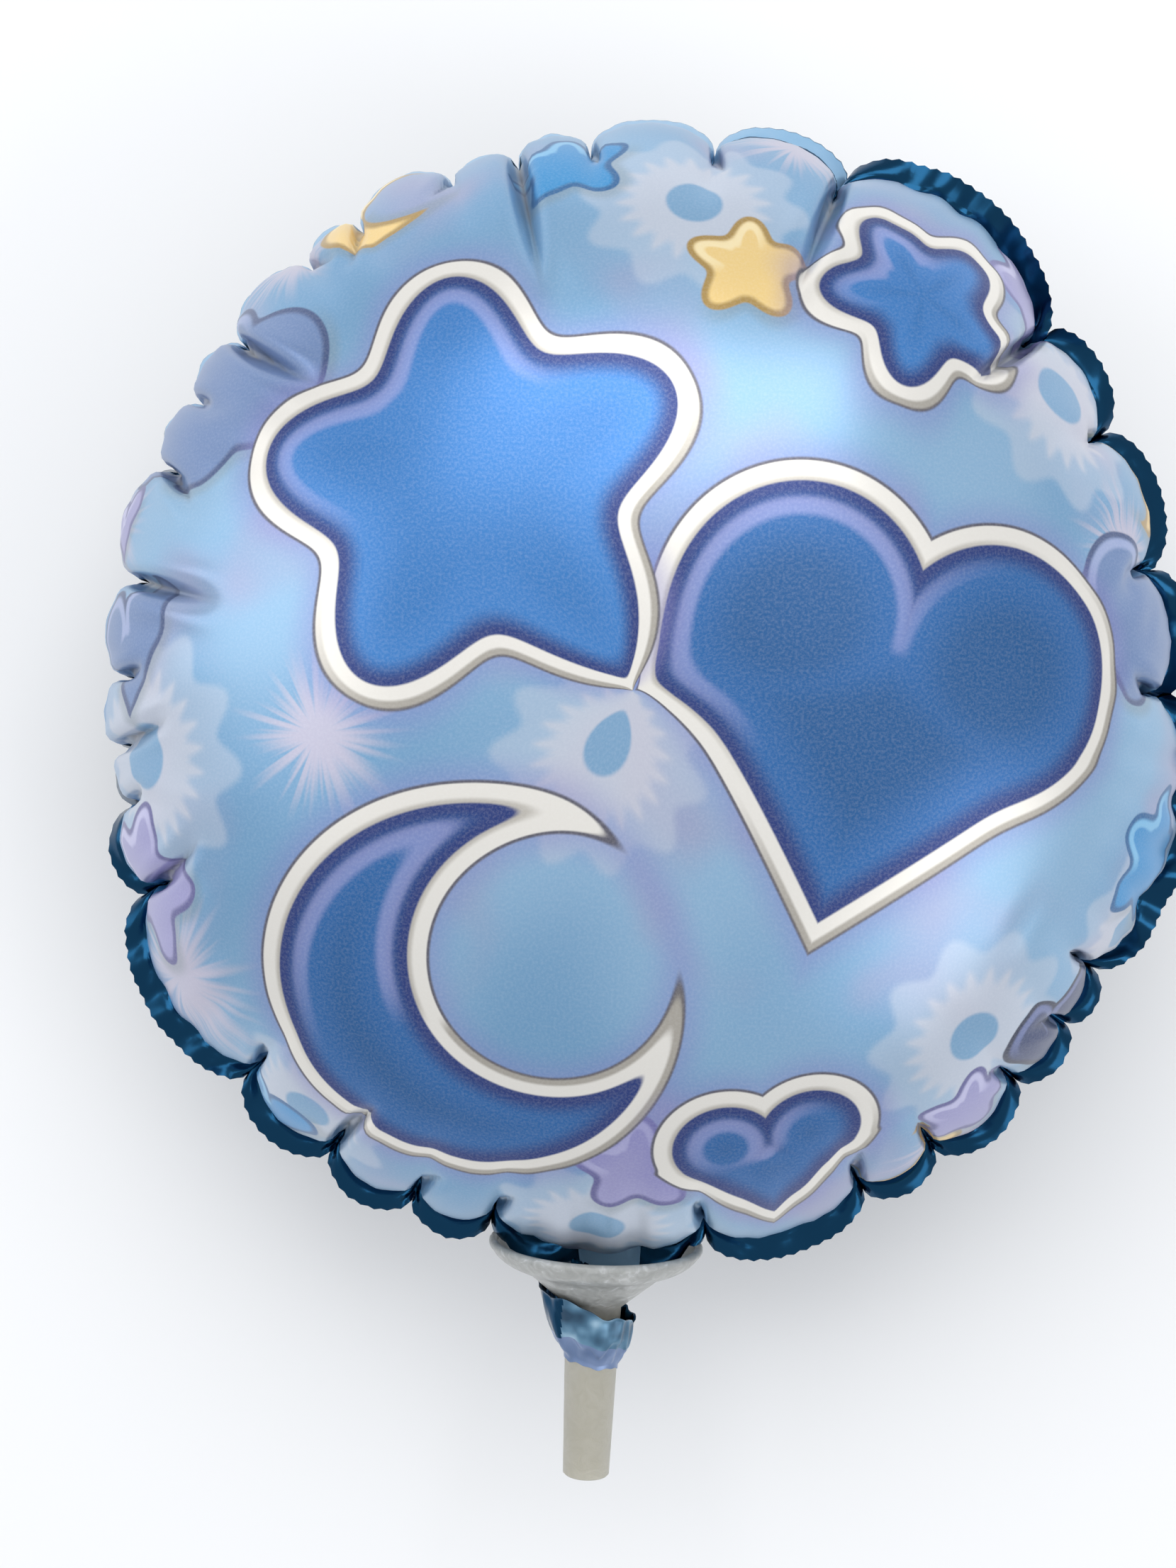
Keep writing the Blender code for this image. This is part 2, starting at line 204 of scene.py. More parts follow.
# Blowing up
BLOW_STEPS = 500
AIR_PUSH = 5e-7
AIR_SETTLE = 0.35
DRAG = 0.99
PULL = 0.9
SQUASH = 0.6
MERIDIAN_SQUASH = 0.1
SOFT_BEND = (2, 0.06, 0.95)
LOBE_BENDS = ((2, 0.3, 0.98), (4, 0.25, 0.955), (6, 0.15, 0.93))
LOBES_FROM = 0.050
MERIDIAN_BEND = 0.12
SEAM_BENDS = ((2, 0.35, 0.99), (4, 0.3, 0.97))
LARGEST_STEP = 0.0006
WELD_GRIP = 0.1
BODY_GRIP = 0.01
MIDDLE_GRIP = 0.06
MIDDLE_RADIUS = 0.062
SMOOTH_RADII = (0.0, 0.045, 0.078, WELD_FLAT)
SMOOTH_LENGTHS = (0.045, 0.026, 0.006, 0.001)
SEAM_GRIP = 0.04
NECK_GRIP = 0.3
NECK_ANGLE = 269
NECK_HALF = 2
NECK_WIDTH = 0.0076
NECK_RADIUS = 0.0845
NECK_RISE = 0.0055
NECK_PRINT_ANGLE = 270
NECK_PRINT_HALF = 2.6
NECK_X = 0.0006
NECK_LENGTH = 0.0085
NECK_DROP = 0.0045
NECK_SWELL = 0.0008
NECK_PLEATS = ((0.0004, 7, 5), (0.0003, 17, 0))
START_JITTER = 0.00002
SEAM_JITTER = 0.00004
LIP_REACH = 0.0012
LIP_INSIDE = 0.0022
LIP_OUTSIDE = 0.0008
LIP_CLEARANCE = 0.0006
LARGEST_RUFFLE = 0.004
SEED = 7


def lobe_curve(points, chord, height, length):
    """The weld of one lobe, from pinch to pinch, as that many steps of equal length: along the rim,
    out from it and across it. It arches out, and what is left of its length is folded in at the
    pinches, and ruffled where that would be too deep."""
    share = np.linspace(0, 1, 200)
    arch = height * np.sin(math.pi * share) ** 0.8
    waves = max(1, round(chord / RUFFLE_LENGTH))
    ruffle = np.sin(2 * math.pi * waves * share) * np.sin(math.pi * share) ** 0.5
    along = FOLD_GAP + (chord - 2 * FOLD_GAP) * share

    def arc(size):
        return np.stack([along, arch, ruffle * size], -1)

    def size_of(path):
        return np.linalg.norm(np.diff(path, axis=0), axis=1).sum()

    fold = max(0, (length - size_of(arc(0))) / 2)
    low, high = 0.0, LARGEST_RUFFLE
    if fold > DEEPEST_FOLD:
        fold = DEEPEST_FOLD
        for _ in range(30):
            middle = (low + high) / 2
            if size_of(arc(middle)) + 2 * fold < length:
                low = middle
            else:
                high = middle
    path = np.concatenate([[(0, -fold, 0)], arc(low), [(chord, -fold, 0)]])
    way = np.concatenate([[0], np.cumsum(np.linalg.norm(np.diff(path, axis=0), axis=1))])
    at = np.linspace(0, way[-1], points + 1)
    return np.stack([np.interp(at, way, path[:, axis]) for axis in range(3)], -1)


def weld_curve():
    """The weld all round, one point a degree of the flat sheet."""
    place = np.zeros((ROUND, 3))
    heights = np.interp(np.arange(ROUND), *weld_height_marks(), period=360) / 1000
    for k, (start, height, *_) in enumerate(LOBES):
        width = (LOBES[(k + 1) % len(LOBES)][0] - start) % 360
        chord = (WELD_RADIUS - PINCH_INSET) * math.radians(width)
        length = WELD_FLAT * math.radians(width)
        curve = lobe_curve(width, chord, height / 1000 * ARCH_SHARE, length)
        for step in range(width):
            along, out, across = curve[step]
            angle = math.radians(start) + along / chord * math.radians(width)
            radius = (WELD_RADIUS - PINCH_INSET) * (1 - TALLER * math.cos(2 * angle)) + out
            j = (start + step) % ROUND
            place[j] = (radius * math.cos(angle), radius * math.sin(angle), heights[j] + across)
    return place


def weld_height_marks():
    """Angles and heights, in millimetres, that the weld's height goes through."""
    places, heights = [], []
    for k, (start, _, height, *_) in enumerate(LOBES):
        width = (LOBES[(k + 1) % len(LOBES)][0] - start) % 360
        places += [start, start + width * 0.3, start + width * 0.7]
        heights += [(LOBES[k - 1][2] + height) / 2 * PINCH_SHIFT, height, height]
    return places, heights


def flat_rings():
    """Flat radii of the rings from the pole to the weld, closer together towards the weld."""
    ratio = (RIM_STEP / POLE_STEP) ** (1 / (RINGS - 1))
    reach = np.concatenate([[0], np.cumsum(ratio ** np.arange(RINGS))])
    return POLE_RADIUS + reach / reach[-1] * (WELD_FLAT - POLE_RADIUS)


def seam_radii():
    """Flat radii of the seam's rings outside the weld."""
    return WELD_FLAT + np.arange(1, SEAM_RINGS + 1) * SEAM_WIDTH / SEAM_RINGS


def blown_profile(flat):
    """Radius, height and slope of the normal where film of a flat radius ends up when blown up."""
    share = np.linspace(0, 1, 4001)
    slope = math.pi / 2 * share ** 2
    middle = math.pi / 2 * ((share[1:] + share[:-1]) / 2) ** 2
    step = np.diff(slope)
    arc = np.concatenate([[0], np.cumsum(step / (2 * np.sqrt(np.sin(middle))))])
    drop = np.concatenate([[0], np.cumsum(step * np.sqrt(np.sin(middle)) / 2)])
    at = np.interp(flat / WELD_RADIUS, arc, slope)
    height = drop[-1] - np.interp(at, slope, drop)
    return WELD_RADIUS * np.sqrt(np.sin(at)), WELD_RADIUS * height, at


def blown_grid():
    """The blown-up profile as a grid of the whole body, from the printed pole over the weld to the
    back pole. Near the rim it follows the weld's curve: its arches for a good way in, and each pinch
    as far as its crease runs."""
    columns = np.arange(ROUND)
    flat_angle = np.radians(columns)
    radius, rise, slope = blown_profile(flat_rings())
    weld = weld_curve()
    turn = np.arctan2(weld[:, 1], weld[:, 0]) - flat_angle
    turn = (turn + math.pi) % (2 * math.pi) - math.pi
    out = np.hypot(weld[:, 0], weld[:, 1]) - WELD_RADIUS
    starts = np.array([lobe[0] for lobe in LOBES])
    reach = np.array([lobe[3] for lobe in LOBES]) / 1000
    nearest = np.abs((columns[:, None] - starts + 180) % 360 - 180).argmin(1)
    arch = np.sin(slope)[:, None] ** 5
    from_weld = (WELD_RADIUS - radius)[:, None]
    crease = np.clip(1 - from_weld / (reach[nearest] + CREASE_RUNOUT), 0, 1)
    mean_out = -PINCH_INSET - WELD_RADIUS * TALLER * np.cos(2 * flat_angle)
    away = mean_out * arch + np.where(out > mean_out, (out - mean_out) * arch, (out - mean_out) * crease)
    angle = flat_angle + turn * np.minimum(arch, crease + 0.3 * arch)
    sheets = []
    for side in (1, -1):
        x = (radius[:, None] + away) * np.cos(angle)
        y = (radius[:, None] + away) * np.sin(angle)
        z = side * rise[:, None] + weld[:, 2] * (radius[:, None] / WELD_RADIUS) ** 2
        sheets.append(np.stack([x, y, z], -1))
    return np.concatenate([sheets[0], sheets[1][-2::-1]])


def start_shape(rng):
    """The body and the seam before they relax."""
    angle = np.radians(np.arange(ROUND))
    weld = weld_curve()
    body = blown_grid()
    body += rng.normal(0, START_JITTER, body.shape)
    starts = [lobe[0] for lobe in LOBES]
    turns = [lobe[4] for lobe in LOBES]
    turn = np.radians(np.interp(np.arange(ROUND), np.array(starts) + 5, turns, period=360))
    out = np.stack([np.cos(angle) * np.cos(turn), np.sin(angle) * np.cos(turn), np.sin(turn)], -1)
    reach = np.arange(1, SEAM_RINGS + 1)[:, None, None] * SEAM_WIDTH / SEAM_RINGS
    seam = weld + reach * out
    seam += rng.normal(0, SEAM_JITTER, seam.shape)
    return body, seam


def flat_grid(radii):
    """Where the film of each ring lies in the flat sheet."""
    angle = np.radians(np.arange(ROUND))
    x = radii[:, None] * np.cos(angle)
    y = radii[:, None] * np.sin(angle)
    return np.stack([x, y, np.zeros_like(x)], -1)


def link_batches(grid, flat, lobe_rows, bends, hinge_ring=None):
    """Links between neighbours in the film, in batches that share no point: along and across the
    rings and both diagonals. Links over more points only resist folding. Those of a lobe are stiffer
    and don't reach over a pinch, so the film folds there."""
    rows = np.arange(len(grid))
    columns = np.arange(ROUND)
    pinched = np.zeros(ROUND, bool)
    pinched[[lobe[0] for lobe in LOBES]] = True
    batches = []

    def add(row, column, row_step, column_step, pull, squash, share=1.0):
        i, j = np.meshgrid(row, column, indexing="ij")
        first = grid[i, j].ravel()
        second = grid[i + row_step, (j + column_step) % ROUND].ravel()
        length = np.linalg.norm(flat[first] - flat[second], axis=1) * share
        if len(first):
            batches.append((first, second, length, pull, squash))

    for parity in (0, 1):
        add(rows, columns[parity::2], 0, 1, PULL, SQUASH)
        for across in (0, 1, -1):
            add(rows[parity:-1:2], columns, 1, across, PULL, MERIDIAN_SQUASH)
    span, stiffness, spring = SOFT_BEND
    for start in (0, 2):
        pick = (columns % 4 == start) | (columns % 4 == start + 1)
        add(rows[~lobe_rows], columns[pick], 0, span, 0.0, stiffness, spring)
        pick = (rows[:-2] % 4 == start) | (rows[:-2] % 4 == start + 1)
        if hinge_ring is not None:
            pick &= rows[:-2] != hinge_ring - 1
        add(rows[:-2][pick], columns, 2, 0, 0.0, MERIDIAN_BEND, 0.98)
    for span, stiffness, spring in bends:
        over = np.zeros(ROUND, bool)
        for step in range(1, span):
            over |= np.roll(pinched, -step)
        for half in (0, 1):
            pick = (columns % (2 * span) // span == half) & ~over
            add(rows[lobe_rows], columns[pick], 0, span, 0.0, stiffness, spring)
    return batches


def hold_lengths(points, batch):
    """Bring the links of one batch back towards their flat length."""
    first, second, length, pull, squash = batch
    gap = points[second] - points[first]
    size = np.sqrt(np.einsum("ij,ij->i", gap, gap)) + 1e-12
    error = size - length
    gap *= (np.where(error > 0, pull, squash) * error / size / 2)[:, None]
    points[first] += gap
    points[second] -= gap


def outward_area(body):
    """Area vector of the film round each point of the body."""
    down = np.empty_like(body)
    down[1:-1] = body[2:] - body[:-2]
    down[0] = body[1] - body[0]
    down[-1] = body[-1] - body[-2]
    along = np.roll(body, -1, 1) - np.roll(body, 1, 1)
    return np.cross(down, along) / 4


def body_anchors(start, seam):
    """How the film is drawn to its start: points, places and grips. A grip is the share of the way
    back in each step, small over the body, larger at the weld and at the neck."""
    place = start.copy()
    inner = np.clip(1 - flat_rings() / MIDDLE_RADIUS, 0, 1)
    inner = np.concatenate([inner, inner[-2::-1]])
    grip = np.repeat((BODY_GRIP + MIDDLE_GRIP * inner)[:, None], ROUND, 1)
    grip[RINGS] = WELD_GRIP
    for step in range(-NECK_HALF, NECK_HALF + 1):
        j = NECK_ANGLE + step
        place[RINGS, j] = (CUP_X + NECK_WIDTH / 2 * step / NECK_HALF, -NECK_RADIUS, NECK_RISE)
        grip[RINGS, j] = NECK_GRIP
    place = np.concatenate([place.reshape(-1, 3), seam.reshape(-1, 3)])
    grip = np.concatenate([grip.ravel(), np.full(seam[..., 0].size, SEAM_GRIP)])
    return place.astype(np.float32), grip[:, None].astype(np.float32)


def hold_in_place(points, poles, anchors):
    """Keep the poles flat, the weld near its places, and the film off the table and the cup's lip."""
    for ring, flat in poles:
        points[ring] = points[ring].mean(0) + flat
    place, grip = anchors
    points += (place - points) * grip
    points[:, 2] = np.maximum(points[:, 2], -RIM_Z)
    low = points[:, 1] < CUP_MOUTH_Y + LIP_REACH
    near = points[low]
    across = near[:, 0] - CUP_X
    out = np.hypot(across, near[:, 2])
    on_lip = (out > CUP_RADIUS - LIP_INSIDE) & (out < CUP_RADIUS + LIP_OUTSIDE)
    near[on_lip, 1] = np.maximum(near[on_lip, 1], CUP_MOUTH_Y + LIP_CLEARANCE)
    points[low] = near


def blow_up():
    """Relax the sealed discs under air pressure. Returns the printed sheet and the back sheet from
    pole to weld, and the seam from the weld to its edge."""
    rng = np.random.default_rng(SEED)
    body, seam = start_shape(rng)
    rings = len(body)
    grid = np.arange(rings * ROUND).reshape(rings, ROUND)
    seam_numbers = grid.size + np.arange(seam[..., 0].size).reshape(-1, ROUND)
    seam_grid = np.concatenate([grid[RINGS][None], seam_numbers])
    radii = flat_rings()
    flat = flat_grid(np.concatenate([radii, radii[-2::-1], seam_radii()])).reshape(-1, 3)
    points = np.concatenate([body.reshape(-1, 3), seam.reshape(-1, 3)])
    outer = np.linalg.norm(flat[grid[:, 0]], axis=1) > LOBES_FROM
    batches = link_batches(grid, flat, outer, LOBE_BENDS, hinge_ring=RINGS)
    batches += link_batches(seam_grid, flat, np.ones(len(seam_grid), bool), SEAM_BENDS)
    batches = [(a, b, length.astype(np.float32), pull, squash) for a, b, length, pull, squash in batches]
    poles = [(grid[ring], flat[grid[ring]].astype(np.float32)) for ring in (0, -1)]
    anchors = body_anchors(blown_grid(), seam)
    mean_area = math.pi * WELD_FLAT ** 2 / (RINGS * ROUND)
    points = points.astype(np.float32)
    speed = np.zeros_like(points)
    for step in range(BLOW_STEPS):
        push = AIR_PUSH * (1 - (1 - AIR_SETTLE) * step / BLOW_STEPS)
        air = outward_area(points[:grid.size].reshape(rings, ROUND, 3)) / mean_area
        speed[:grid.size] += air.reshape(-1, 3) * push
        speed *= DRAG
        before = points.copy()
        points += speed
        for batch in batches:
            hold_lengths(points, batch)
        hold_in_place(points, poles, anchors)
        speed = points - before
        size = np.linalg.norm(speed, axis=1)
        speed *= np.minimum(1, LARGEST_STEP / (size + 1e-12))[:, None]
    points = points.astype(float)
    body = points[:grid.size].reshape(rings, ROUND, 3)
    return body[:RINGS + 1], body[:RINGS - 1:-1], points[seam_grid]


def finer(grid, around=True):
    """The grid with one point more between each two, on a smooth curve through them."""
    if around:
        before, after = np.roll(grid, 1, 1), np.roll(grid, -1, 1)
        between = (9 * (grid + after) - before - np.roll(grid, -2, 1)) / 16
        result = np.empty((grid.shape[0], grid.shape[1] * 2, 3))
        result[:, 0::2] = grid
        result[:, 1::2] = between
        return result
    padded = np.concatenate([2 * grid[:1] - grid[1:2], grid, 2 * grid[-1:] - grid[-2:-1]])
    between = (9 * (padded[1:-2] + padded[2:-1]) - padded[:-3] - padded[3:]) / 16
    result = np.empty((grid.shape[0] * 2 - 1, grid.shape[1], 3))
    result[0::2] = grid
    result[1::2] = between
    return result


def mesh_object(name, points, faces, material):
    """A smooth-shaded object from points and faces in the part's frame."""
    mesh = bpy.data.meshes.new(name)
    mesh.from_pydata([tuple(p) for p in points], [], faces)
    mesh.shade_smooth()
    obj = bpy.data.objects.new(name, mesh)
    bpy.context.collection.objects.link(obj)
    obj.data.materials.append(material)
    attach(obj, "root")
    return obj


def grid_faces(rows, columns, first=0, turned=False):
    """Quads of a grid that closes on itself round its columns."""
    faces = []
    for i in range(rows - 1):
        for j in range(columns):
            a = first + i * columns + j
            b = first + i * columns + (j + 1) % columns
            quad = (a, a + columns, b + columns, b)
            faces.append(quad[::-1] if turned else quad)
    return faces


def smooth_round(sheet):
    """The sheet without the ripples round its middle that are finer than the film would hold."""
    radii = flat_rings()
    shortest = np.interp(radii, SMOOTH_RADII, SMOOTH_LENGTHS)
    waves = np.abs(np.fft.fftfreq(ROUND, 1 / ROUND))
    kept = np.exp(-(waves[None, :] / (2 * math.pi * radii / shortest)[:, None]) ** 2)
    return np.fft.ifft(np.fft.fft(sheet, axis=1) * kept[:, :, None], axis=1).real


def sheet_normals(grid, side):
    """Normals of a sheet's grid, facing out."""
    down = np.gradient(grid, axis=0)
    along = np.roll(grid, -1, 1) - np.roll(grid, 1, 1)
    normal = np.cross(down, along) * side
    return normal / (np.linalg.norm(normal, axis=2, keepdims=True) + 1e-12)


def press_creases(grid, flat, side, rng):
    """The sheet with a crease pressed in at each pinch, sharp at the weld and gone at its reach, and
    how deep in a fold each point lies, which is the weight of the painted shade in the creases."""
    normal = sheet_normals(grid, side)
    radius = np.hypot(flat[..., 0], flat[..., 1])
    blown = blown_profile(radius)[0]
    angle = np.arctan2(flat[..., 1], flat[..., 0])
    depth = np.zeros(radius.shape)
    fold = np.zeros(radius.shape)
    for start, _, _, reach, _ in LOBES:
        from_weld = (WELD_RADIUS - blown) * 1000 / (reach + 2)
        share = np.clip(1 - from_weld, 0, 1) * (radius <= WELD_FLAT)
        slant = rng.uniform(-0.02, 0.02) + rng.uniform(-0.06, 0.06) * from_weld
        away = (angle - math.radians(start) - slant * from_weld + math.pi) % (2 * math.pi) - math.pi
        core = np.exp(-(away * radius / FOLD_HALF_WIDTH) ** 2) * np.minimum(1, 1.6 * share)
        # How much painted shade the print lays along this crease's core.
        fold = np.maximum(fold, core * min(1, 0.3 + reach / 25))
        away = np.abs(away * radius) / (CREASE_HALF_WIDTH * (0.8 + reach / 30))
        size = CREASE_DEPTH * min(1, 0.35 + reach / 22)
        groove = np.exp(-away ** 1.2) - 0.2 * np.exp(-((away - 2.6) / 1.4) ** 2)
        depth += size * groove * np.sin(np.pi * np.minimum(share, 0.5)) * np.minimum(1, 5 * from_weld + 0.3)
    return grid - normal * depth[..., None], fold


def pull_neck(grid, side):
    """The seam's rows drawn out into the neck, which goes into the cup."""
    angle = np.arange(grid.shape[1]) * 360 / grid.shape[1]
    from_neck = (angle - NECK_PRINT_ANGLE) / NECK_PRINT_HALF
    blend = np.clip((1 - np.abs(from_neck)) * 4, 0, 1)[:, None]
    weld = grid[2 * RINGS]
    for row in range(2 * RINGS + 1, len(grid)):
        share = (row - 2 * RINGS) / (2 * SEAM_RINGS)
        x = weld[:, 0] * (1 - share) + (NECK_X + from_neck * NECK_WIDTH / 2) * share
        y = weld[:, 1] - NECK_LENGTH * share
        pleats = sum(size * np.sin(waves * from_neck + lean * share) for size, waves, lean in NECK_PLEATS)
        swell = side * NECK_SWELL * math.sin(math.pi * share)
        z = weld[:, 2] - NECK_DROP * share + swell + pleats * share
        grid[row] = grid[row] * (1 - blend) + np.stack([x, y, z], -1) * blend
    return grid


def make_sheet(name, sheet, seam, side, material):
    """One sheet of the balloon: its blown-up part, its side of the seam, the cut edge and its place in
    the flat sheet as a UV map."""
    sheet = smooth_round(sheet)
    flat = flat_grid(np.concatenate([flat_rings(), seam_radii()]))
    grid = np.concatenate([sheet, seam[1:]])
    for around in (True, False):
        grid = finer(grid, around)
        flat = finer(flat, around)
    grid = pull_neck(grid, side)
    fold = np.zeros(grid.shape[:2])
    if side > 0:
        grid, fold = press_creases(grid, flat, side, np.random.default_rng(SEED))
    grid = grid + sheet_normals(grid, side) * FILM_GAP / 2
    columns = grid.shape[1]
    out = grid[-1, 1::2] - grid[-2, 1::2]
    grid[-1, 1::2] += out / np.linalg.norm(out, axis=1, keepdims=True) * TOOTH
    points = np.concatenate([grid.reshape(-1, 3), grid[0].mean(0)[None]])
    places = np.concatenate([flat.reshape(-1, 3), [[0, 0, 0]]])
    faces = grid_faces(len(grid), columns, turned=side < 0)
    centre = len(points) - 1
    for j in range(columns):
        fan = (centre, j, (j + 1) % columns)
        faces.append(fan[::-1] if side < 0 else fan)
    points[:, 2] = np.maximum(points[:, 2] + RIM_Z, 0.0)
    obj = mesh_object(name, points, faces, material)
    layer = obj.data.uv_layers.new(name="OFBake")
    corner = np.empty(len(obj.data.loops), np.int32)
    obj.data.loops.foreach_get("vertex_index", corner)
    layer.data.foreach_set("uv", (places[corner, :2] / PRINT_SPAN + 0.5).ravel())
    # The crease weight, for the painted shade in the print.
    shade = obj.data.attributes.new(name="fold", type="FLOAT", domain="POINT")
    shade.data.foreach_set("value", np.append(fold.ravel(), 0))
    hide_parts("foil_balloon")
    return obj


def shader(name, colour, roughness, metallic=0.0, **values):
    """A material with one shader, and its node tree."""
    material = bpy.data.materials.new(name)
    material.use_nodes = True
    surface = material.node_tree.nodes["Principled BSDF"]
    surface.inputs["Base Color"].default_value = (*colour, 1)
    surface.inputs["Roughness"].default_value = roughness
    surface.inputs["Metallic"].default_value = metallic
    for socket, value in values.items():
        surface.inputs[socket.replace("_", " ")].default_value = value
    return material


def linear(code):
    """A linear colour from its usual six-digit code."""
    parts = [int(code[k:k + 2], 16) / 255 for k in (0, 2, 4)]
    return tuple(p / 12.92 if p <= 0.04045 else ((p + 0.055) / 1.055) ** 2.4 for p in parts)


class Drawing:
    """Draws flat shapes, one over the other, with a material's nodes. Lengths are in millimetres on
    the flat sheet, and a shape is the signed distance to its outline, negative inside."""

    def __init__(self, material):
        self.nodes = material.node_tree.nodes
        self.links = material.node_tree.links
        uv = self.nodes.new("ShaderNodeUVMap")
        uv.uv_map = "OFBake"
        centred = self.vector("SUBTRACT", uv.outputs[0], (0.5, 0.5, 0))
        self.place = self.vector("MULTIPLY", centred, (PRINT_SPAN * 1000,) * 3)
        self.colour = None

    def put(self, socket, value):
        if isinstance(value, bpy.types.NodeSocket):
            self.links.new(value, socket)
        elif isinstance(value, tuple) and len(value) == 3 and socket.type == "RGBA":
            socket.default_value = (*value, 1)
        else:
            socket.default_value = value

    def math(self, operation, first, second=0.0, third=0.0):
        node = self.nodes.new("ShaderNodeMath")
        node.operation = operation
        for socket, value in zip(node.inputs, (first, second, third)):
            self.put(socket, value)
        return node.outputs[0]

    def vector(self, operation, first, second=(0, 0, 0)):
        node = self.nodes.new("ShaderNodeVectorMath")
        node.operation = operation
        self.put(node.inputs[0], first)
        self.put(node.inputs[1], second)
        return node.outputs["Value" if operation in ("LENGTH", "DOT_PRODUCT") else "Vector"]

    def at(self, centre, turn=0.0):
        """The place relative to a centre, turned by some degrees."""
        moved = self.vector("SUBTRACT", self.place, (*centre, 0))
        if not turn:
            return moved
        node = self.nodes.new("ShaderNodeVectorRotate")
        node.rotation_type = "Z_AXIS"
        self.put(node.inputs["Vector"], moved)
        node.inputs["Angle"].default_value = -math.radians(turn)
        return node.outputs[0]

    def split(self, vector):
        node = self.nodes.new("ShaderNodeSeparateXYZ")
        self.put(node.inputs[0], vector)
        return node.outputs[0], node.outputs[1]

    def ramp(self, value, start, end):
        """0 at start to 1 at end, smooth."""
        node = self.nodes.new("ShaderNodeMapRange")
        node.interpolation_type = "SMOOTHSTEP"
        self.put(node.inputs["Value"], value)
        node.inputs["From Min"].default_value = min(start, end)
        node.inputs["From Max"].default_value = max(start, end)
        node.inputs["To Min"].default_value = 0 if start < end else 1
        node.inputs["To Max"].default_value = 1 if start < end else 0
        return node.outputs[0]

    def band(self, value, middle, half):
        """1 at the middle value, 0 half a width away."""
        away = self.math("ABSOLUTE", self.math("SUBTRACT", value, middle))
        return self.ramp(away, half, half * 0.3)

    def noise(self, scale, detail=2.0, vector=None, roughness=0.5):
        node = self.nodes.new("ShaderNodeTexNoise")
        self.put(node.inputs["Vector"], self.place if vector is None else vector)
        node.inputs["Scale"].default_value = scale
        node.inputs["Detail"].default_value = detail
        node.inputs["Roughness"].default_value = roughness
        return node.outputs["Fac"]

    def mix(self, factor, first, second):
        node = self.nodes.new("ShaderNodeMix")
        node.data_type = "RGBA"
        self.put(node.inputs[0], factor)
        self.put(node.inputs[6], first)
        self.put(node.inputs[7], second)
        return node.outputs[2]

    def paint(self, factor, code):
        """Lay a colour over what is there."""
        self.colour = self.mix(factor, self.colour, linear(code))

    def disc(self, centre, radius):
        return self.math("SUBTRACT", self.vector("LENGTH", self.at(centre)), radius)

    def wavy_disc(self, centre, radius, waves, depth, turn=0.0):
        """A round shape with lobes: a puffy star, a flower or a rosette."""
        place = self.at(centre, turn)
        x, y = self.split(place)
        angle = self.math("MULTIPLY", self.math("ARCTAN2", y, x), waves)
        size = self.vector("LENGTH", place)
        edge = self.math("MULTIPLY_ADD", self.math("COSINE", angle), radius * depth, radius)
        lean = self.math("MULTIPLY", self.math("SINE", angle), depth * waves)
        steep = self.math("SQRT", self.math("MULTIPLY_ADD", lean, lean, 1.0))
        return self.math("DIVIDE", self.math("SUBTRACT", size, edge), steep)

    def heart(self, centre, size, turn=0.0):
        """Two discs and the tip below them."""
        x, y = self.split(self.at(centre, turn))
        x = self.math("ABSOLUTE", x)
        lobe_x = self.math("SUBTRACT", x, size * 0.24)
        lobe_y = self.math("SUBTRACT", y, size * 0.14)
        square = self.math("MULTIPLY", lobe_y, lobe_y)
        lobe = self.math("SQRT", self.math("MULTIPLY_ADD", lobe_x, lobe_x, square))
        lobe = self.math("SUBTRACT", lobe, size * 0.29)
        slant = self.math("SUBTRACT", self.math("MULTIPLY", x, 0.74), self.math("MULTIPLY", y, 0.67))
        side = self.math("SUBTRACT", slant, size * 0.345)
        top = self.math("SUBTRACT", self.math("MULTIPLY_ADD", x, 0.42, y), size * 0.18)
        tip = self.math("SMOOTH_MAX", side, top, size * 0.05)
        return self.math("SMOOTH_MIN", lobe, tip, size * 0.07)

    def moon(self, centre, radius, turn=0.0):
        """A crescent."""
        cut = math.radians(turn)
        off = (centre[0] + radius * 0.5 * math.cos(cut), centre[1] + radius * 0.5 * math.sin(cut))
        hole = self.math("MULTIPLY", self.disc(off, radius * 0.74), -1)
        return self.math("SMOOTH_MAX", self.disc(centre, radius), hole, radius * 0.14)

    def cloud(self, centre, size):
        """Four discs run together."""
        shape = self.disc((centre[0] - size * 0.55, centre[1] - size * 0.1), size * 0.36)
        for x, y, radius in ((-0.12, 0.16, 0.46), (0.42, 0.0, 0.40), (0.02, -0.18, 0.38)):
            other = self.disc((centre[0] + size * x, centre[1] + size * y), size * radius)
            shape = self.math("SMOOTH_MIN", shape, other, size * 0.08)
        return shape

    def shape(self, kind, centre, size, turn):
        """One of the shapes by its name."""
        if kind == "cloud":
            return self.cloud(centre, size)
        if kind == "moon":
            return self.moon(centre, size, turn)
        if kind == "heart":
            return self.heart(centre, size, turn)
        return self.wavy_disc(centre, size, 5, 0.2, turn)

    def side(self, centre):
        """From 0 at a shape's upper left to 1 at its lower right."""
        toward = self.vector("DOT_PRODUCT", self.vector("NORMALIZE", self.at(centre)), (0.6, -0.8, 0))
        return self.math("MULTIPLY_ADD", toward, 0.5, 0.5)

